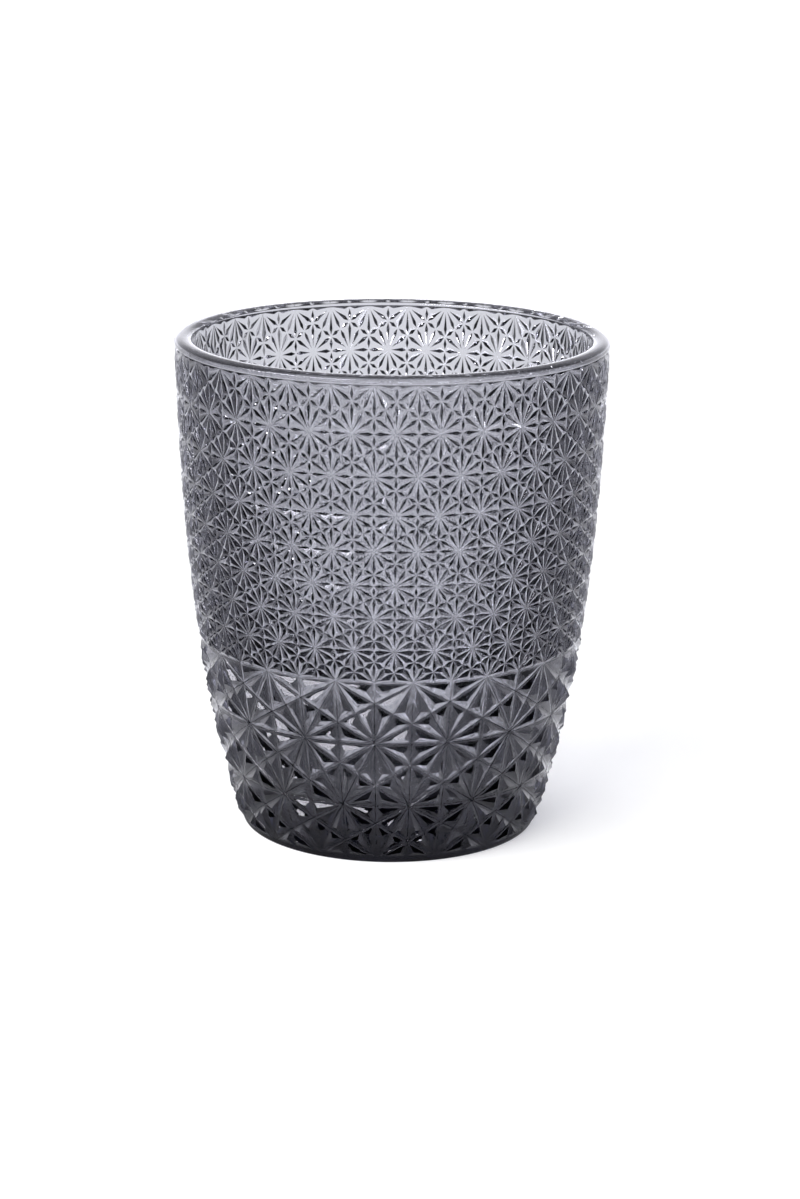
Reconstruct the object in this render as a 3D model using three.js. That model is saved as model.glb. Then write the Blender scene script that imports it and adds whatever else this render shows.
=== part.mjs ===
// Pressed glass water tumbler, smoked grey, with a relief of linked stars on the outside.
// Millimetres, +Z up. The glass stands on z = 0 with its axis on Z, and azimuth 0 faces -Y.
//
// The glass is one pressing. It is divided here, as its mould is, at the horizontal grooves that run
// round it through the star centres: a smooth lip, a wall of small stars, a wall of large stars, and a
// base that carries the lowest large stars, the thick floor and the standing ring.

import * as THREE from 'three';
import { mergeVertices } from 'three/addons/utils/BufferGeometryUtils.js';

// Overall sizes
const HEIGHT = 100.5;
const RIM_DIAMETER = 86.6;
const FOOT_DIAMETER = 59.5;

// The lip is a rounded bead that overhangs the patterned wall
const LIP_HEIGHT = 1.7;
const LIP_THICKNESS = 3.5;
const LIP_UNDERCUT = 0.55;
const LIP_OVERHANG = 0.45;

// The wall flares a little all the way up and is drawn in towards the foot: more fullness draws it in lower
const WALL_FLARE = THREE.MathUtils.degToRad(2);
const WALL_FULLNESS = 2.8;
const WALL_AT_FLOOR = 4.5;
const FLOOR_THICKNESS = 10.5;
const INNER_CORNER_RADIUS = 10;

// The underside is hollowed, so that the glass stands on a narrow ring
const STANDING_RING_WIDTH = 6;
const HOLLOW_DEPTH = 1.2;
const FOOT_EDGE_HEIGHT = 1.2;
const FOOT_EDGE_RADIUS = 0.8;

// Star pattern: rows of stars, each row shifted half a star from the next
const COARSE_STARS_AROUND = 16;
const FINE_STARS_PER_COARSE = 2;
const FINE_ROWS = 8;
const BAND_LINE_HEIGHT = 39.8;
const TOP_ROW_STRETCH = 0.41;
const COARSE_ROW_SHARES = [0.308, 0.355, 0.337];
const FINE_RELIEF = 0.5;
const COARSE_RELIEF = 0.8;
const STAR_TURN = THREE.MathUtils.degToRad(6.9);

// Facet counts of the smooth parts
const LIP_STEPS = 6;
const HOLLOW_STEPS = 3;
const FOOT_EDGE_STEPS = 2;
const CORNER_STEPS = 4;
const FINE_INNER_STEPS = 4;
const COARSE_INNER_STEPS = 4;

// Finish
const SMOKED_GLASS = { color: 0x8b8d96, roughness: 0.05, metalness: 0, flatShading: true };

// Sizes that follow from the ones above
const LIP_BOTTOM = HEIGHT - LIP_HEIGHT;
const RIM_RADIUS = RIM_DIAMETER / 2;
const MOUTH_RADIUS = RIM_RADIUS - LIP_THICKNESS;
const FOOT_RADIUS = FOOT_DIAMETER / 2;
const GROOVE_RADIUS_TOP = RIM_RADIUS - LIP_OVERHANG;
const DRAWN_IN_AT_FOOT = GROOVE_RADIUS_TOP - LIP_BOTTOM * Math.tan(WALL_FLARE) - FOOT_RADIUS;
const WALL_AT_LIP = LIP_THICKNESS - LIP_OVERHANG;
const FINE_STARS_AROUND = COARSE_STARS_AROUND * FINE_STARS_PER_COARSE;
const RING_POINTS = 2 * FINE_STARS_AROUND;
const CORNER_TOP = FLOOR_THICKNESS + INNER_CORNER_RADIUS;

// Radius of the outside at the bottom of the grooves
function grooveRadius(z) {
  const drop = Math.max(0, LIP_BOTTOM - z);
  const drawnIn = DRAWN_IN_AT_FOOT * (drop / LIP_BOTTOM) ** WALL_FULLNESS;
  return GROOVE_RADIUS_TOP - drop * Math.tan(WALL_FLARE) - drawnIn;
}

// Radius of the smooth inside: the wall above the corner, and an arc from the wall to the flat floor
function innerRadius(z) {
  const wallRadius = (height) => {
    const share = (height - FLOOR_THICKNESS) / (LIP_BOTTOM - FLOOR_THICKNESS);
    return grooveRadius(height) - THREE.MathUtils.lerp(WALL_AT_FLOOR, WALL_AT_LIP, share);
  };
  if (z >= CORNER_TOP) return wallRadius(z);
  const drop = CORNER_TOP - z;
  const reach = Math.sqrt(Math.max(0, INNER_CORNER_RADIUS ** 2 - drop ** 2));
  return wallRadius(CORNER_TOP) - INNER_CORNER_RADIUS + reach;
}

// A band of stars: the heights of its rows of star centres from the bottom up, counted from the row where
// the two bands meet, so that every large star there sits on a small one
function starBand(starsAround, relief, rowHeights, firstRow) {
  return { starsAround, relief, rowHeights, firstRow, pitch: (2 * Math.PI) / starsAround };
}

function rowsFromShares(bottom, top, shares) {
  const total = shares.reduce((sum, share) => sum + share, 0);
  const heights = [bottom];
  shares.forEach((share) => heights.push(heights.at(-1) + ((top - bottom) * share) / total));
  return heights;
}

// The small stars are drawn out upwards, most of all under the lip
const fineShares = Array.from({ length: FINE_ROWS }, (_, row) => {
  return 1 + TOP_ROW_STRETCH * (row / (FINE_ROWS - 1)) ** 3;
});
const fineBand = starBand(
  FINE_STARS_AROUND,
  FINE_RELIEF,
  rowsFromShares(BAND_LINE_HEIGHT, LIP_BOTTOM, fineShares),
  0,
);
const coarseBand = starBand(
  COARSE_STARS_AROUND,
  COARSE_RELIEF,
  rowsFromShares(FOOT_EDGE_HEIGHT, BAND_LINE_HEIGHT, COARSE_ROW_SHARES),
  -COARSE_ROW_SHARES.length,
);

// The base reaches up to the first row of large stars that clears the floor
const baseRows = coarseBand.rowHeights.findIndex((height) => height > FLOOR_THICKNESS);
const BASE_TOP = coarseBand.rowHeights[baseRows];

function pointAt(radius, azimuth, z) {
  return new THREE.Vector3(radius * Math.sin(azimuth), -radius * Math.cos(azimuth), z);
}

function ring(radius, z, points = RING_POINTS) {
  const step = (2 * Math.PI) / points;
  return Array.from({ length: points }, (_, index) => pointAt(radius, STAR_TURN + index * step, z));
}

// Closes the strip between two rings with triangles; a ring of one point is a point on the axis.
// Rings taken up the outside, in over the top and down the inside give faces that point outwards.
function stitch(faces, first, second) {
  const firstSteps = first.length > 1 ? first.length : 0;
  const secondSteps = second.length > 1 ? second.length : 0;
  let i = 0;
  let j = 0;
  while (i < firstSteps || j < secondSteps) {
    const a = first[i % first.length];
    const b = second[j % second.length];
    const firstLags = (i + 1) * secondSteps <= (j + 1) * firstSteps;
    if (i < firstSteps && (firstLags || j >= secondSteps)) {
      i += 1;
      faces.push([a, first[i % first.length], b]);
    } else {
      j += 1;
      faces.push([a, second[j % second.length], b]);
    }
  }
}

function stitchAll(faces, rings) {
  for (let index = 1; index < rings.length; index += 1) {
    stitch(faces, rings[index - 1], rings[index]);
  }
}

// A point of the pattern: across in star pitches, up in rows
function onPattern(band, across, up) {
  const row = Math.min(Math.floor(up), band.rowHeights.length - 2);
  const z = THREE.MathUtils.lerp(band.rowHeights[row], band.rowHeights[row + 1], up - row);
  return pointAt(grooveRadius(z), STAR_TURN + across * band.pitch, z);
}

// One right-angled panel between three grooves, raised to a point over its incentre
function raisedPanel(faces, band, a, b, c) {
  const weights = [b.distanceTo(c), c.distanceTo(a), a.distanceTo(b)];
  const perimeter = weights[0] + weights[1] + weights[2];
  const incentre = new THREE.Vector3();
  [a, b, c].forEach((corner, index) => incentre.addScaledVector(corner, weights[index] / perimeter));
  const azimuth = Math.atan2(incentre.x, -incentre.y);
  const apex = pointAt(grooveRadius(incentre.z) + band.relief, azimuth, incentre.z);
  faces.push([a, b, apex], [b, c, apex], [c, a, apex]);
}

// Three neighbouring star centres and their mirror lines, which cut the triangle into six panels
function starTriangle(faces, band, corners) {
  const middle = [0, 1].map((axis) => (corners[0][axis] + corners[1][axis] + corners[2][axis]) / 3);
  const centre = onPattern(band, ...middle);
  corners.forEach((from, index) => {
    const to = corners[(index + 1) % corners.length];
    const half = onPattern(band, (from[0] + to[0]) / 2, (from[1] + to[1]) / 2);
    raisedPanel(faces, band, onPattern(band, ...from), half, centre);
    raisedPanel(faces, band, half, onPattern(band, ...to), centre);
  });
}

// The rows of a band from one row of star centres up to another
function starRows(faces, band, fromRow, toRow) {
  for (let row = fromRow; row < toRow; row += 1) {
    const shift = Math.abs(band.firstRow + row) % 2 ? 0.5 : 0;
    for (let star = 0; star < band.starsAround; star += 1) {
      const x = star + shift;
      starTriangle(faces, band, [[x, row], [x + 1, row], [x + 0.5, row + 1]]);
      starTriangle(faces, band, [[x + 1, row], [x + 1.5, row + 1], [x + 0.5, row + 1]]);
    }
  }
}

// The ring of groove points along one row of star centres
function rowRing(band, row) {
  const z = band.rowHeights[row];
  return ring(grooveRadius(z), z, 2 * band.starsAround);
}

// Rings of the inside from one height down to another
function innerRings(top, bottom, steps) {
  return Array.from({ length: steps + 1 }, (_, index) => {
    const z = THREE.MathUtils.lerp(top, bottom, index / steps);
    return ring(innerRadius(z), z);
  });
}

// Rings of the inside down the rounded corner, from the given height to the edge of the flat floor
function cornerRings(top, steps) {
  const startAngle = Math.acos(THREE.MathUtils.clamp((CORNER_TOP - top) / INNER_CORNER_RADIUS, 0, 1));
  return Array.from({ length: steps }, (_, index) => {
    const angle = startAngle * (1 - (index + 1) / steps);
    const z = CORNER_TOP - INNER_CORNER_RADIUS * Math.cos(angle);
    return ring(innerRadius(z), z);
  });
}

// Smooth lip: an undercut up to the widest point, half an ellipse over the top, and the mouth's side
function lip() {
  const middleRadius = (RIM_RADIUS + MOUTH_RADIUS) / 2;
  const halfWidth = RIM_RADIUS - middleRadius;
  const widestHeight = LIP_BOTTOM + LIP_UNDERCUT;
  const rings = [ring(GROOVE_RADIUS_TOP, LIP_BOTTOM)];
  for (let step = 0; step <= LIP_STEPS; step += 1) {
    const angle = (Math.PI * step) / LIP_STEPS;
    const z = widestHeight + (HEIGHT - widestHeight) * Math.sin(angle);
    rings.push(ring(middleRadius + halfWidth * Math.cos(angle), z));
  }
  rings.push(ring(MOUTH_RADIUS, LIP_BOTTOM));
  const faces = [];
  stitchAll(faces, [...rings, rings[0]]);
  return faces;
}

// A wall between two rows of a band: stars outside, smooth inside, flat where it meets its neighbours
function starWall(band, fromRow, toRow, innerSteps) {
  const bottom = band.rowHeights[fromRow];
  const top = band.rowHeights[toRow];
  const faces = [];
  starRows(faces, band, fromRow, toRow);
  stitchAll(faces, [
    rowRing(band, toRow),
    ...innerRings(top, bottom, innerSteps),
    rowRing(band, fromRow),
  ]);
  return faces;
}

// Base: hollowed underside, standing ring, foot edge, the lowest stars and the floor
function base() {
  const hollowRadius = FOOT_RADIUS - FOOT_EDGE_RADIUS - STANDING_RING_WIDTH;
  const stepHeight = coarseBand.rowHeights[0];
  const underside = [[new THREE.Vector3(0, 0, HOLLOW_DEPTH)]];
  for (let step = 1; step <= HOLLOW_STEPS; step += 1) {
    const share = step / HOLLOW_STEPS;
    underside.push(ring(hollowRadius * share, HOLLOW_DEPTH * (1 - share ** 2)));
  }
  for (let step = 0; step < FOOT_EDGE_STEPS; step += 1) {
    const angle = (Math.PI / 2) * (step / FOOT_EDGE_STEPS);
    const inset = FOOT_EDGE_RADIUS * (1 - Math.sin(angle));
    const z = stepHeight * (1 - Math.cos(angle));
    underside.push(ring(grooveRadius(stepHeight) - inset, z));
  }
  const faces = [];
  stitchAll(faces, [...underside, rowRing(coarseBand, 0)]);
  starRows(faces, coarseBand, 0, baseRows);
  stitchAll(faces, [
    rowRing(coarseBand, baseRows),
    ring(innerRadius(BASE_TOP), BASE_TOP),
    ...cornerRings(BASE_TOP, CORNER_STEPS),
    [new THREE.Vector3(0, 0, FLOOR_THICKNESS)],
  ]);
  return faces;
}

function glassMesh(name, faces) {
  const positions = faces.flat().flatMap((point) => point.toArray());
  const loose = new THREE.BufferGeometry();
  loose.setAttribute('position', new THREE.Float32BufferAttribute(positions, 3));
  const geometry = mergeVertices(loose);
  geometry.computeVertexNormals();
  const mesh = new THREE.Mesh(geometry, new THREE.MeshStandardMaterial(SMOKED_GLASS));
  mesh.name = name;
  return mesh;
}

const coarseRows = COARSE_ROW_SHARES.length;

const waterGlass = new THREE.Group();
waterGlass.name = 'water_glass';
waterGlass.add(
  glassMesh('base', base()),
  glassMesh('coarse_star_wall', starWall(coarseBand, baseRows, coarseRows, COARSE_INNER_STEPS)),
  glassMesh('fine_star_wall', starWall(fineBand, 0, FINE_ROWS, FINE_INNER_STEPS)),
  glassMesh('lip', lip()),
);

export default waterGlass;
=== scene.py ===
import math

import bpy
import numpy as np
from mathutils import Matrix, Vector


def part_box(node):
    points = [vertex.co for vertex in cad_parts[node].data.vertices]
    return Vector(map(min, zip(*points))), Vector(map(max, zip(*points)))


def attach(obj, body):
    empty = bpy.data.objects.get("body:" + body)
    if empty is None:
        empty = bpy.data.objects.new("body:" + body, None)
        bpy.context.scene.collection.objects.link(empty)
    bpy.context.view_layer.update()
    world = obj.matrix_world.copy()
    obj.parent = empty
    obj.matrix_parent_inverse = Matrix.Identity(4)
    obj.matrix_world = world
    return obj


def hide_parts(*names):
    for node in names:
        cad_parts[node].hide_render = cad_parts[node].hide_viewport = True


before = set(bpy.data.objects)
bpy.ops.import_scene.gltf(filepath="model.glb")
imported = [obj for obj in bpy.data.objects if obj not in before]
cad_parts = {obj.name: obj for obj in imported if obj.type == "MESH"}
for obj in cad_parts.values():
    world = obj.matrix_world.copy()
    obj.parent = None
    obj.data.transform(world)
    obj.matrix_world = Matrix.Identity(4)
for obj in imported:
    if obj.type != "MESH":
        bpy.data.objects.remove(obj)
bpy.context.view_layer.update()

MM = 0.001

# Heights that the frame gives
LIP_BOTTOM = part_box("lip")[0][2]
LIP_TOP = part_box("lip")[1][2]
BAND_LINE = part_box("fine_star_wall")[0][2]

# Lip: a rounded step out over the pattern, and a rounded top
RIM_RADIUS = 43.3 * MM
LIP_THICKNESS = 3.5 * MM
LIP_OVERHANG = 0.45 * MM
LIP_STEP = 0.45 * MM
LIP_ROUND = 0.85 * MM
LIP_SQUARENESS = 2.2

# Wall, floor and foot
FOOT_RADIUS = 29.75 * MM
WALL_FLARE = math.tan(math.radians(2))
WALL_FULLNESS = 2.8
WALL_AT_FLOOR = 4.5 * MM
FLOOR_THICKNESS = 10.5 * MM
INNER_CORNER_RADIUS = 10.0 * MM
STANDING_RING_WIDTH = 6.0 * MM
HOLLOW_DEPTH = 1.2 * MM
FOOT_EDGE_HEIGHT = 1.2 * MM
FOOT_EDGE_RADIUS = 0.8 * MM

# What follows from them
GROOVE_TOP = RIM_RADIUS - LIP_OVERHANG
DRAWN_IN_AT_FOOT = GROOVE_TOP - LIP_BOTTOM * WALL_FLARE - FOOT_RADIUS
WALL_AT_LIP = LIP_THICKNESS - LIP_OVERHANG
CORNER_TOP = FLOOR_THICKNESS + INNER_CORNER_RADIUS

# Star pattern
COARSE_STARS_AROUND = 16
FINE_STARS_AROUND = 2 * COARSE_STARS_AROUND
FINE_ROWS = 8
TOP_ROW_STRETCH = 0.41
COARSE_ROW_SHARES = (0.337, 0.355, 0.308)
FINE_RELIEF = 0.5 * MM
COARSE_RELIEF = 0.8 * MM
STAR_TURN = math.radians(6.9)

# One star, in star pitches: a hexagon with corners above and below, cut into right-angled panels
STAR_FOLDS = 6
ROW_PITCH = math.sqrt(3) / 2
STAR_CENTRE = np.array((0.0, 0.0))
EDGE_MIDDLE = np.array((0.5, 0.0))
CELL_CORNER = np.array((0.5, 0.5 / math.sqrt(3)))
PANEL_CORNERS = (STAR_CENTRE, EDGE_MIDDLE, CELL_CORNER)
GROOVES = range(len(PANEL_CORNERS))

# A fine panel: a low roof, with a pointed cut along each groove (where it starts, is widest and ends)
FINE_CUTS = ((0.17, 0.74, 0.96), (0.12, 0.50, 0.88), (0.06, 0.26, 0.80))
FINE_CUT_HALF = 0.039
FINE_CUT_LEVEL = -0.45
FINE_EDGE_RISE = 0.4

# A coarse panel: a narrow cut along each groove, a nearly level land, a rounding and three flat facets
COARSE_STATIONS = ((0.25, 0.5, 0.75), (0.5,), (0.25, 0.5, 0.75))
COARSE_STEPS = (0.0, 0.05, 0.09, 0.22, 0.3, 0.38, 1.0)
COARSE_LEVELS = (-0.12, -0.02, 0.0, 0.01, 0.05, 0.13, 1.0)

# Fineness of the mesh, where pitches are star pitches
ROW_END_STEP = 0.25
PITCH_TOLERANCE = 0.001
MERGE_DISTANCE = 0.01 * MM
SMOOTH_ANGLE = math.radians(25)
STEPS_AROUND = 4 * FINE_STARS_AROUND
LIP_STEP_POINTS = 7
LIP_TOP_POINTS = 25
WALL_POINTS = 18
CORNER_POINTS = 8
FLOOR_SHARES = (0.66, 0.33, 0.0)
FOOT_EDGE_POINTS = 10
HOLLOW_POINTS = 9

# Smoked glass
WHITE = (1, 1, 1, 1)
GLASS_ROUGHNESS = 0.055
GLASS_IOR = 1.51
GLASS_SHEEN = (0.9, 0.89, 1, 1)
GLASS_SHADOW = (0.96, 0.96, 0.96, 1)
SMOKE_COLOUR = (0.02, 0.03, 0.17, 1)
SMOKE_DENSITY = 82.0

# Light that the room sheds, and the dark that the glass shows of it
AMBIENT_LEVEL = 0.6
ROOM_LEVEL = 0.015

# Bright field seen through the glass: low wedges behind and before it
SWEEP_FULL = math.radians(18)
SWEEP_END = math.radians(58)
SWEEP_LEAN = math.tan(math.radians(7))
FIELD_FULL = math.sin(math.radians(3))
FIELD_END = math.sin(math.radians(18))
FIELD_TINT = (0.93, 0.93, 1, 1)

# Bright field mirrored by the glass: a broad cone at the back, dimmer aloft
MIRRORED_AIM = (0, 1, 0)
MIRRORED_FULL = math.cos(math.radians(60))
MIRRORED_END = math.cos(math.radians(115))
MIRRORED_LEVEL = 2.6
MIRRORED_LOW = math.sin(math.radians(4))
MIRRORED_HIGH = math.sin(math.radians(20))
MIRRORED_ALOFT = 0.3

# Floor, and how far from the axis it brightens as the camera and the glass show it; to rays by way of
# the glass it is a painted glow, with painted shadow and shade close to the glass
FLOOR_SIZE = 8.0
FLOOR_DROP = 0.1 * MM
PAPER_COLOUR = (0.9, 0.9, 0.9, 1)
NEAR_FLOOR = 0.15
FAR_FLOOR = 1.0
NEAR_LIFT = 0.23
FAR_LIFT = 0.6
TABLE_TINT = (0.94, 0.945, 1, 1)
# Painted shadow on the floor close to the glass, as the glass shows it: the glow is at its lowest level
# within the inner reach and full past the outer one
PAINTED_SHADOW_INNER = 30 * MM
PAINTED_SHADOW_OUTER = 145 * MM
PAINTED_SHADOW_LEVEL = 0.06
# Painted shade on the floor close to the glass as mirrored by it, and a painted glow beyond, brighter
# than white
CONTACT_SHADE = 26 * MM
PAST_SHADE = 50 * MM
SHADE_LEVEL = 0.2
MIRRORED_FLOOR_GLOW = 1.4

# Softbox at the left front
SOFTBOX_PLACE = (-0.66, -0.53, 0.41)
SOFTBOX_WIDTH = 1.1
SOFTBOX_HEIGHT = 0.34
SOFTBOX_POWER = 15.0
SOFTBOX_TARGET = (0, 0, 50 * MM)
LIGHT_BOUNCES = 24

# Camera, with its focal length in pixels of a picture 1199 pixels high
CAMERA_PLACE = (0, -604.5 * MM, 212.2 * MM)
CAMERA_TURN = math.radians(-0.19)
CAMERA_PITCH = math.radians(-15.38)
CAMERA_ROLL = math.radians(0.53)
CAMERA_REACH = 100.0
SENSOR_HEIGHT = 24.0
PICTURE_HEIGHT = 1199
FOCAL_LENGTH = 3082.4


def groove_radius(z):
    """Outside radius at the bottom of the grooves."""
    drop = np.clip(LIP_BOTTOM - z, 0, None)
    drawn_in = DRAWN_IN_AT_FOOT * (drop / LIP_BOTTOM) ** WALL_FULLNESS
    return GROOVE_TOP - drop * WALL_FLARE - drawn_in


def wall_inner_radius(z):
    share = (z - FLOOR_THICKNESS) / (LIP_BOTTOM - FLOOR_THICKNESS)
    return groove_radius(z) - (WALL_AT_FLOOR + (WALL_AT_LIP - WALL_AT_FLOOR) * share)


def row_heights(start, end, shares):
    steps = np.cumsum((0.0, *shares))
    return start + (end - start) * steps / steps[-1]


def select_only(piece):
    bpy.ops.object.select_all(action="DESELECT")
    piece.select_set(True)
    bpy.context.view_layer.objects.active = piece


def groove_run(groove):
    """The way from a panel's corner to its next one."""
    return PANEL_CORNERS[(groove + 1) % len(PANEL_CORNERS)] - PANEL_CORNERS[groove]


def groove_inward(groove):
    """Unit direction from a groove into the panel."""
    run = groove_run(groove)
    return np.array((-run[1], run[0])) / np.hypot(*run)


def along_groove(groove, share):
    return PANEL_CORNERS[groove] + groove_run(groove) * share


def groove_distances(places):
    """Distances of points in the panel from its three grooves."""
    distances = [(places - PANEL_CORNERS[groove]) @ groove_inward(groove) for groove in GROOVES]
    return np.maximum(distances, 0.0)


def panel_incentre():
    opposite = [np.hypot(*groove_run((corner + 1) % len(PANEL_CORNERS))) for corner in GROOVES]
    return sum(place * length for place, length in zip(PANEL_CORNERS, opposite)) / sum(opposite)


def panel_depth(places):
    """How deep inside the panel points lie, 0 on its grooves and 1 over its incentre."""
    deepest = np.min(groove_distances(panel_incentre()[None, :]))
    return np.min(groove_distances(places), axis=0) / deepest


def fine_roof(places):
    return FINE_EDGE_RISE + (1 - FINE_EDGE_RISE) * panel_depth(places)


def coarse_roof(places):
    return np.interp(panel_depth(places), COARSE_STEPS, COARSE_LEVELS)


def flat_panel(name, stations):
    """The panel's outline, with points at the given shares along each groove, open for editing."""
    outline = [along_groove(groove, share) for groove in GROOVES for share in (0.0, *stations[groove])]
    bpy.ops.object.select_all(action="DESELECT")
    bpy.ops.mesh.primitive_circle_add(vertices=len(outline), fill_type="NGON")
    panel = bpy.context.object
    panel.name = name
    for vertex, place in zip(panel.data.vertices, outline):
        vertex.co = (*place, 0)
    bpy.ops.object.mode_set(mode="EDIT")
    bpy.ops.mesh.select_mode(type="FACE")
    bpy.ops.mesh.select_all(action="SELECT")
    return panel


def draw_in(factor):
    """Insets the chosen face towards the panel's incentre."""
    bpy.ops.mesh.inset(thickness=0)
    bpy.ops.transform.resize(value=(factor, factor, 1), center_override=(*panel_incentre(), 0))


def raise_panel(panel, roof):
    """Closes the innermost face over the incentre and raises all points."""
    bpy.ops.mesh.poke()
    bpy.ops.object.mode_set(mode="OBJECT")
    places = np.array([vertex.co[:2] for vertex in panel.data.vertices])
    places[np.argmax(panel_depth(places))] = panel_incentre()
    for vertex, place, height in zip(panel.data.vertices, places, roof(places)):
        vertex.co = (*place, height)


def lies_at(vertex, place):
    return np.hypot(*(np.array(vertex.co[:2]) - place)) < FINE_CUT_HALF / 2


def fine_panel():
    """The inset outline gets a shoulder beside the widest place of each cut, and the cut sinks there."""
    panel = flat_panel("fine_panel", FINE_CUTS)
    widest = [along_groove(groove, FINE_CUTS[groove][1]) for groove in GROOVES]
    bpy.ops.mesh.inset(thickness=0)
    bpy.ops.object.mode_set(mode="OBJECT")
    inner = next(face for face in panel.data.polygons if face.select)
    for index in inner.vertices:
        vertex = panel.data.vertices[index]
        for groove, place in enumerate(widest):
            if lies_at(vertex, place):
                vertex.co = (*(place + groove_inward(groove) * FINE_CUT_HALF), 0)
    bpy.ops.object.mode_set(mode="EDIT")
    bpy.ops.mesh.select_all(action="SELECT")
    bpy.ops.mesh.remove_doubles(threshold=PITCH_TOLERANCE)
    bpy.ops.mesh.select_all(action="DESELECT")
    bpy.ops.mesh.select_face_by_sides(number=4, type="GREATER")
    raise_panel(panel, fine_roof)
    for vertex in panel.data.vertices:
        if any(lies_at(vertex, place) for place in widest):
            vertex.co.z = FINE_CUT_LEVEL
    return panel


def coarse_panel():
    panel = flat_panel("coarse_panel", COARSE_STATIONS)
    scale = 1.0
    for depth in COARSE_STEPS[1:-1]:
        draw_in((1 - depth) / scale)
        scale = 1 - depth
    raise_panel(panel, coarse_roof)
    return panel


def make_star(panel):
    """Mirrors the panel and turns the pair round the star's centre."""
    select_only(panel)
    bpy.ops.object.mode_set(mode="EDIT")
    bpy.ops.mesh.select_all(action="SELECT")
    bpy.ops.mesh.duplicate()
    bpy.ops.transform.resize(value=(1, -1, 1), center_override=(0, 0, 0))
    bpy.ops.mesh.flip_normals()
    bpy.ops.mesh.select_all(action="SELECT")
    copies = STAR_FOLDS - 1
    turn = copies * 2 * math.pi / STAR_FOLDS
    bpy.ops.mesh.spin(steps=copies, dupli=True, angle=turn, center=(0, 0, 0), axis=(0, 0, 1))
    bpy.ops.mesh.select_all(action="SELECT")
    bpy.ops.mesh.remove_doubles(threshold=PITCH_TOLERANCE)
    bpy.ops.object.mode_set(mode="OBJECT")


def repeat(piece, count, offset):
    array = piece.modifiers.new("repeat", "ARRAY")
    array.count = count
    array.use_relative_offset = False
    array.use_constant_offset = True
    array.constant_offset_displace = offset
    bpy.ops.object.modifier_apply(modifier=array.name)


def star_sheet(panel, stars, rows, row_step):
    """Stars make a flat sheet, cut along its first and last row."""
    make_star(panel)
    repeat(panel, stars, (1, 0, 0))
    repeat(panel, rows + 1, (0.5, row_step, 0))
    bpy.ops.object.mode_set(mode="EDIT")
    for height, side in ((0, -1), (rows * row_step, 1)):
        bpy.ops.mesh.select_all(action="SELECT")
        bpy.ops.mesh.bisect(
            plane_co=(0, height, 0),
            plane_no=(0, side * math.copysign(1, row_step), 0),
            clear_outer=True,
            threshold=PITCH_TOLERANCE,
        )
    bpy.ops.object.mode_set(mode="OBJECT")
    return panel


def wrap_sheet(sheet, stars, heights, relief, row_step, joined_rows):
    """Rolls the flat sheet onto the tapered wall, level along the rows that join a neighbour."""
    mesh = sheet.data
    flat = np.empty(len(mesh.vertices) * 3)
    mesh.vertices.foreach_get("co", flat)
    across, up, raised = flat.reshape(-1, 3).T
    joined = np.isclose(up[:, None] / row_step, joined_rows, atol=PITCH_TOLERANCE).any(axis=1)
    end_step = ROW_END_STEP * stars / FINE_STARS_AROUND
    across = np.where(joined, np.round(across / end_step) * end_step, across)
    raised = np.where(joined, 0, raised)
    azimuth = STAR_TURN + across * (2 * math.pi / stars)
    z = np.interp(up / row_step, np.arange(len(heights)), heights)
    radius = groove_radius(z) + raised * relief
    wrapped = np.stack((radius * np.sin(azimuth), -radius * np.cos(azimuth), z), axis=1)
    mesh.vertices.foreach_set("co", wrapped.ravel())
    mesh.update()


def fine_band():
    """The small stars, from the band line up, with the rows drawn out towards the lip."""
    shares = 1 + TOP_ROW_STRETCH * (np.arange(FINE_ROWS) / (FINE_ROWS - 1)) ** 3
    heights = row_heights(BAND_LINE, LIP_BOTTOM, shares)
    band = star_sheet(fine_panel(), FINE_STARS_AROUND, FINE_ROWS, ROW_PITCH)
    wrap_sheet(band, FINE_STARS_AROUND, heights, FINE_RELIEF, ROW_PITCH, (0,))
    return band


def coarse_band():
    """The large stars, from the band line down to the foot."""
    rows = len(COARSE_ROW_SHARES)
    heights = row_heights(BAND_LINE, FOOT_EDGE_HEIGHT, COARSE_ROW_SHARES)
    band = star_sheet(coarse_panel(), COARSE_STARS_AROUND, rows, -ROW_PITCH)
    wrap_sheet(band, COARSE_STARS_AROUND, heights, COARSE_RELIEF, -ROW_PITCH, (0, rows))
    return band


def turned_surface(name, profile):
    """A profile of radius and height, spun round the axis from the first star's azimuth."""
    bpy.ops.object.select_all(action="DESELECT")
    bpy.ops.mesh.primitive_circle_add(vertices=len(profile), fill_type="NOTHING")
    piece = bpy.context.object
    piece.name = name
    for vertex, (radius, z) in zip(piece.data.vertices, profile):
        vertex.co = (radius * math.sin(STAR_TURN), -radius * math.cos(STAR_TURN), z)
    bpy.ops.object.mode_set(mode="EDIT")
    bpy.ops.mesh.select_mode(type="EDGE")
    bpy.ops.mesh.select_all(action="DESELECT")
    bpy.ops.object.mode_set(mode="OBJECT")
    for edge in piece.data.edges:
        edge.select = set(edge.vertices) == {0, len(profile) - 1}
    bpy.ops.object.mode_set(mode="EDIT")
    bpy.ops.mesh.delete(type="EDGE_FACE")
    bpy.ops.mesh.select_mode(type="VERT")
    bpy.ops.mesh.select_all(action="SELECT")
    bpy.ops.mesh.spin(steps=STEPS_AROUND, angle=2 * math.pi, center=(0, 0, 0), axis=(0, 0, 1))
    bpy.ops.mesh.select_all(action="SELECT")
    bpy.ops.mesh.remove_doubles(threshold=MERGE_DISTANCE)
    bpy.ops.object.mode_set(mode="OBJECT")
    return piece


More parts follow.
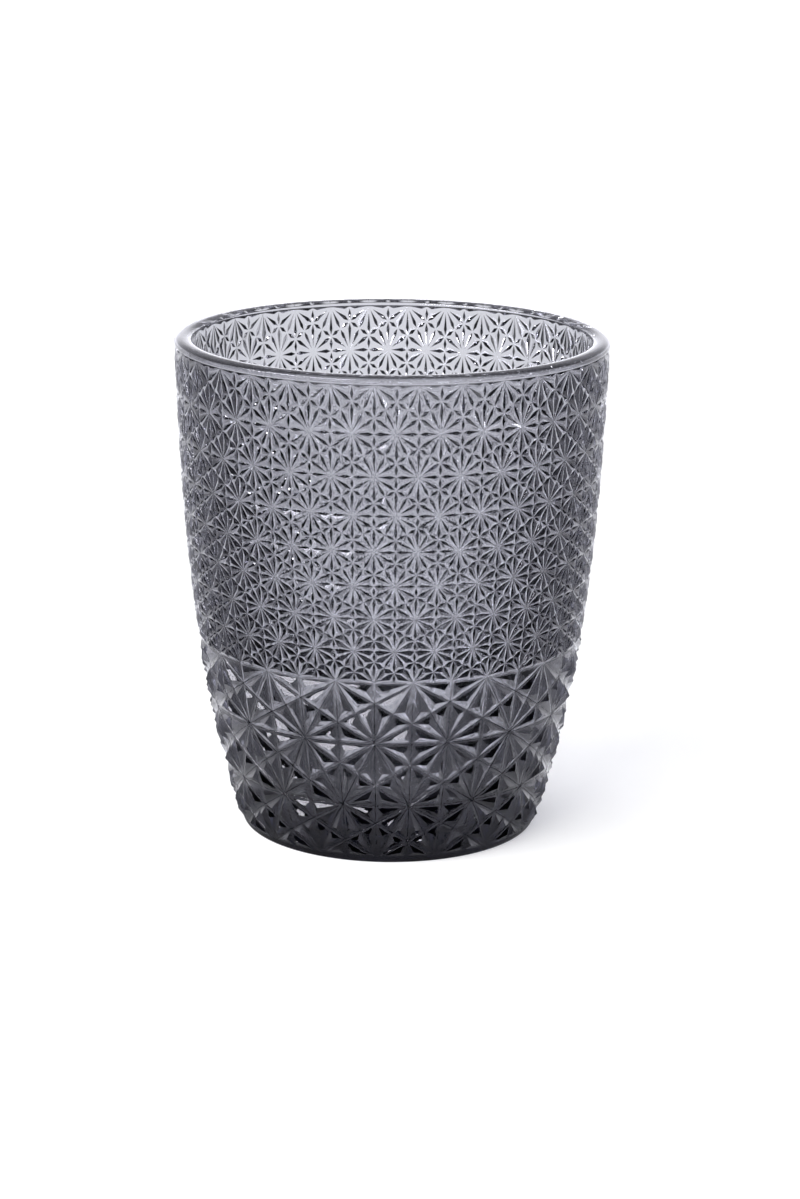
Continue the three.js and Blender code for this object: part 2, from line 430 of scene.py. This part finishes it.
def lip_profile():
    """Out over the pattern, up the outside and over the rounded top."""
    half = LIP_THICKNESS / 2
    shoulder = LIP_TOP - LIP_ROUND
    power = 2 / LIP_SQUARENESS
    profile = []
    for angle in np.linspace(-math.pi / 2, 0, LIP_STEP_POINTS)[1:]:
        back = LIP_OVERHANG * (1 - math.cos(angle))
        profile.append((RIM_RADIUS - back, LIP_BOTTOM + LIP_STEP * (1 + math.sin(angle))))
    for angle in np.linspace(0, math.pi, LIP_TOP_POINTS):
        out = math.copysign(abs(math.cos(angle)) ** power, math.cos(angle))
        rise = math.sin(angle) ** power
        profile.append((RIM_RADIUS - half + half * out, shoulder + LIP_ROUND * rise))
    return profile


def inside_profile():
    """Down the smooth wall, round the corner and across the floor."""
    corner_middle = float(wall_inner_radius(CORNER_TOP)) - INNER_CORNER_RADIUS
    profile = []
    for z in np.linspace(LIP_BOTTOM, CORNER_TOP, WALL_POINTS):
        profile.append((float(wall_inner_radius(z)), z))
    for angle in np.linspace(0, math.pi / 2, CORNER_POINTS)[1:]:
        reach = corner_middle + INNER_CORNER_RADIUS * math.cos(angle)
        profile.append((reach, CORNER_TOP - INNER_CORNER_RADIUS * math.sin(angle)))
    for share in FLOOR_SHARES:
        profile.append((corner_middle * share, FLOOR_THICKNESS))
    return profile


def underside_profile():
    """Round the foot's edge, across the standing ring and up into the hollow."""
    edge = float(groove_radius(FOOT_EDGE_HEIGHT))
    hollow = FOOT_RADIUS - FOOT_EDGE_RADIUS - STANDING_RING_WIDTH
    profile = []
    for angle in np.linspace(0, math.pi / 2, FOOT_EDGE_POINTS):
        back = FOOT_EDGE_RADIUS * (1 - math.cos(angle))
        profile.append((edge - back, FOOT_EDGE_HEIGHT * (1 - math.sin(angle))))
    for share in np.linspace(1, 0, HOLLOW_POINTS):
        profile.append((hollow * share, HOLLOW_DEPTH * (1 - share ** 2)))
    return profile


def pressed_glass():
    """The two star bands and the turned surfaces, joined and bridged to one closed skin."""
    glass = fine_band()
    glass.name = "water_glass"
    coarse = coarse_band()
    inside = turned_surface("inside", lip_profile() + inside_profile())
    underside = turned_surface("underside", underside_profile())
    select_only(glass)
    for piece in (coarse, inside, underside):
        piece.select_set(True)
    bpy.ops.object.join()
    bpy.ops.object.mode_set(mode="EDIT")
    bpy.ops.mesh.select_all(action="SELECT")
    bpy.ops.mesh.remove_doubles(threshold=MERGE_DISTANCE)
    bpy.ops.mesh.select_all(action="DESELECT")
    bpy.ops.mesh.select_non_manifold()
    bpy.ops.mesh.bridge_edge_loops()
    bpy.ops.mesh.select_all(action="SELECT")
    bpy.ops.mesh.normals_make_consistent(inside=False)
    bpy.ops.object.mode_set(mode="OBJECT")
    bpy.ops.object.shade_smooth_by_angle(angle=SMOOTH_ANGLE)
    return glass


def give(tree, socket, value):
    """Sets a socket to a plain value, or links another socket to it."""
    if isinstance(value, bpy.types.NodeSocket):
        tree.links.new(value, socket)
    else:
        socket.default_value = value


def maths(tree, operation, *values):
    """One step of arithmetic."""
    node = tree.nodes.new("ShaderNodeMath")
    node.operation = operation
    for socket, value in zip(node.inputs, values):
        give(tree, socket, value)
    return node.outputs[0]


def ease(tree, value, start, end, low=0.0, high=1.0):
    """A smooth step from low at start to high at end."""
    node = tree.nodes.new("ShaderNodeMapRange")
    node.interpolation_type = "SMOOTHSTEP"
    names = ("Value", "From Min", "From Max", "To Min", "To Max")
    for name, setting in zip(names, (value, start, end, low, high)):
        give(tree, node.inputs[name], setting)
    return node.outputs[0]


def blend(tree, kind, factor, first, second):
    """A mix of two numbers or colours."""
    node = tree.nodes.new("ShaderNodeMix")
    node.data_type = kind
    for name, value in (("Factor", factor), ("A", first), ("B", second)):
        give(tree, node.inputs[name], value)
    return node.outputs["Result"]


def blend_shaders(tree, factor, first, second):
    node = tree.nodes.new("ShaderNodeMixShader")
    for socket, value in zip(node.inputs, (factor, first, second)):
        give(tree, socket, value)
    return node.outputs["Shader"]


def by_way_of_glass(tree, path):
    """1 for rays that come through glass or off a mirror."""
    return maths(tree, "MAXIMUM", path.outputs["Is Transmission Ray"], path.outputs["Is Glossy Ray"])


def sweep(tree, split):
    """1 in the wedges behind and before the glass, and 0 towards the sides."""
    lean = maths(tree, "MULTIPLY", split.outputs["Y"], SWEEP_LEAN)
    across = maths(tree, "ABSOLUTE", maths(tree, "ADD", split.outputs["X"], lean))
    along = maths(tree, "ABSOLUTE", split.outputs["Y"])
    return ease(tree, maths(tree, "ARCTAN2", across, along), SWEEP_END, SWEEP_FULL)


def smoked_glass():
    material = bpy.data.materials.new("smoked_glass")
    material.use_nodes = True
    tree = material.node_tree
    shader = tree.nodes["Principled BSDF"]
    shader.inputs["Base Color"].default_value = WHITE
    shader.inputs["Roughness"].default_value = GLASS_ROUGHNESS
    shader.inputs["IOR"].default_value = GLASS_IOR
    shader.inputs["Specular Tint"].default_value = GLASS_SHEEN
    shader.inputs["Transmission Weight"].default_value = 1.0
    clear = tree.nodes.new("ShaderNodeBsdfTransparent")
    clear.inputs["Color"].default_value = GLASS_SHADOW
    smoke = tree.nodes.new("ShaderNodeVolumeAbsorption")
    smoke.inputs["Color"].default_value = SMOKE_COLOUR
    smoke.inputs["Density"].default_value = SMOKE_DENSITY
    in_shadow = tree.nodes.new("ShaderNodeLightPath").outputs["Is Shadow Ray"]
    surface = blend_shaders(tree, in_shadow, shader.outputs["BSDF"], clear.outputs["BSDF"])
    output = tree.nodes["Material Output"]
    tree.links.new(surface, output.inputs["Surface"])
    tree.links.new(smoke.outputs["Volume"], output.inputs["Volume"])
    return material


def white_floor():
    """White to the camera, and to rays that come by way of the glass a painted glow in low wedges, with
    painted shadow close to the glass.
    """
    material = bpy.data.materials.new("white_floor")
    material.use_nodes = True
    tree = material.node_tree
    path = tree.nodes.new("ShaderNodeLightPath")
    place = tree.nodes.new("ShaderNodeTexCoord").outputs["Object"]
    split = tree.nodes.new("ShaderNodeSeparateXYZ")
    tree.links.new(place, split.inputs[0])
    length = tree.nodes.new("ShaderNodeVectorMath")
    length.operation = "LENGTH"
    tree.links.new(place, length.inputs[0])
    reach = length.outputs["Value"]

    lift = ease(tree, reach, NEAR_FLOOR, FAR_FLOOR, NEAR_LIFT, FAR_LIFT)
    paper = tree.nodes["Principled BSDF"]
    paper.inputs["Base Color"].default_value = PAPER_COLOUR
    paper.inputs["Roughness"].default_value = 1.0
    paper.inputs["Specular IOR Level"].default_value = 0.0
    paper.inputs["Emission Color"].default_value = WHITE
    shown_lift = maths(tree, "MULTIPLY", path.outputs["Is Camera Ray"], lift)
    tree.links.new(shown_lift, paper.inputs["Emission Strength"])

    # Painted glow on the floor in the low wedges, for rays by way of the glass
    wedge_glow = maths(tree, "MAXIMUM", sweep(tree, split), ROOM_LEVEL)
    # Painted shadow: the glow darkens close to the glass
    clear = ease(tree, reach, PAINTED_SHADOW_INNER, PAINTED_SHADOW_OUTER, PAINTED_SHADOW_LEVEL, 1.0)
    seen_through = maths(tree, "MULTIPLY", wedge_glow, clear)
    # Painted shade close to the glass in mirrored rays, and a painted glow beyond it
    mirrored = ease(tree, reach, CONTACT_SHADE, PAST_SHADE, SHADE_LEVEL, MIRRORED_FLOOR_GLOW)
    table = tree.nodes.new("ShaderNodeEmission")
    table.inputs["Color"].default_value = TABLE_TINT
    level = blend(tree, "FLOAT", path.outputs["Is Reflection Ray"], seen_through, mirrored)
    tree.links.new(level, table.inputs["Strength"])

    by_glass = by_way_of_glass(tree, path)
    surface = blend_shaders(tree, by_glass, paper.outputs["BSDF"], table.outputs["Emission"])
    tree.links.new(surface, tree.nodes["Material Output"].inputs["Surface"])
    return material


def lay_floor():
    bpy.ops.object.select_all(action="DESELECT")
    bpy.ops.mesh.primitive_plane_add(size=FLOOR_SIZE, location=(0, 0, -FLOOR_DROP))
    plane = bpy.context.object
    plane.name = "floor"
    plane.data.materials.append(white_floor())


def mirrored_field(tree, direction, split):
    facing = tree.nodes.new("ShaderNodeVectorMath")
    facing.operation = "DOT_PRODUCT"
    facing.inputs[1].default_value = MIRRORED_AIM
    tree.links.new(direction, facing.inputs[0])
    turned = facing.outputs["Value"]
    around = ease(tree, turned, MIRRORED_END, MIRRORED_FULL, ROOM_LEVEL, MIRRORED_LEVEL)
    aloft = ease(tree, split.outputs["Z"], MIRRORED_LOW, MIRRORED_HIGH, 1.0, MIRRORED_ALOFT)
    return maths(tree, "MULTIPLY", around, aloft)


def light_room():
    """White to the camera, plain light on the floor, and the bright fields that the glass shows."""
    world = bpy.data.worlds.new("studio")
    bpy.context.scene.world = world
    world.use_nodes = True
    tree = world.node_tree
    path = tree.nodes.new("ShaderNodeLightPath")
    direction = tree.nodes.new("ShaderNodeTexCoord").outputs["Generated"]
    split = tree.nodes.new("ShaderNodeSeparateXYZ")
    tree.links.new(direction, split.inputs[0])

    low = ease(tree, split.outputs["Z"], FIELD_END, FIELD_FULL)
    wedge_glow = maths(tree, "MULTIPLY", sweep(tree, split), low)
    seen_through = maths(tree, "MAXIMUM", wedge_glow, ROOM_LEVEL)
    mirrored = mirrored_field(tree, direction, split)
    shown = blend(tree, "FLOAT", path.outputs["Is Reflection Ray"], seen_through, mirrored)

    by_glass = by_way_of_glass(tree, path)
    level = blend(tree, "FLOAT", by_glass, AMBIENT_LEVEL, shown)
    strength = maths(tree, "MAXIMUM", level, path.outputs["Is Camera Ray"])
    background = tree.nodes["Background"]
    tree.links.new(blend(tree, "RGBA", by_glass, WHITE, FIELD_TINT), background.inputs["Color"])
    tree.links.new(strength, background.inputs["Strength"])


def hang_softbox():
    data = bpy.data.lights.new("softbox_left", "AREA")
    data.shape = "RECTANGLE"
    data.size = SOFTBOX_WIDTH
    data.size_y = SOFTBOX_HEIGHT
    data.energy = SOFTBOX_POWER
    holder = bpy.data.objects.new("softbox_left", data)
    bpy.context.scene.collection.objects.link(holder)
    holder.location = SOFTBOX_PLACE
    aim = Vector(SOFTBOX_TARGET) - Vector(SOFTBOX_PLACE)
    holder.rotation_euler = aim.to_track_quat("-Z", "Y").to_euler()


def set_camera():
    data = bpy.data.cameras.new("camera")
    data.sensor_fit = "VERTICAL"
    data.sensor_height = SENSOR_HEIGHT
    data.lens = SENSOR_HEIGHT * FOCAL_LENGTH / PICTURE_HEIGHT
    data.clip_end = CAMERA_REACH
    holder = bpy.data.objects.new("camera", data)
    bpy.context.scene.collection.objects.link(holder)
    turn = Matrix.Rotation(CAMERA_TURN, 4, "Z")
    tilt = Matrix.Rotation(math.pi / 2 + CAMERA_PITCH, 4, "X")
    roll = Matrix.Rotation(CAMERA_ROLL, 4, "Z")
    holder.matrix_world = Matrix.Translation(CAMERA_PLACE) @ turn @ tilt @ roll
    bpy.context.scene.camera = holder


glass = pressed_glass()
glass.data.materials.clear()
glass.data.materials.append(smoked_glass())
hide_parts("lip", "fine_star_wall", "coarse_star_wall", "base")
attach(glass, "root")

lay_floor()
light_room()
hang_softbox()
set_camera()

scene = bpy.context.scene
scene.view_settings.view_transform = "Standard"
scene.cycles.max_bounces = LIGHT_BOUNCES
scene.cycles.transmission_bounces = LIGHT_BOUNCES
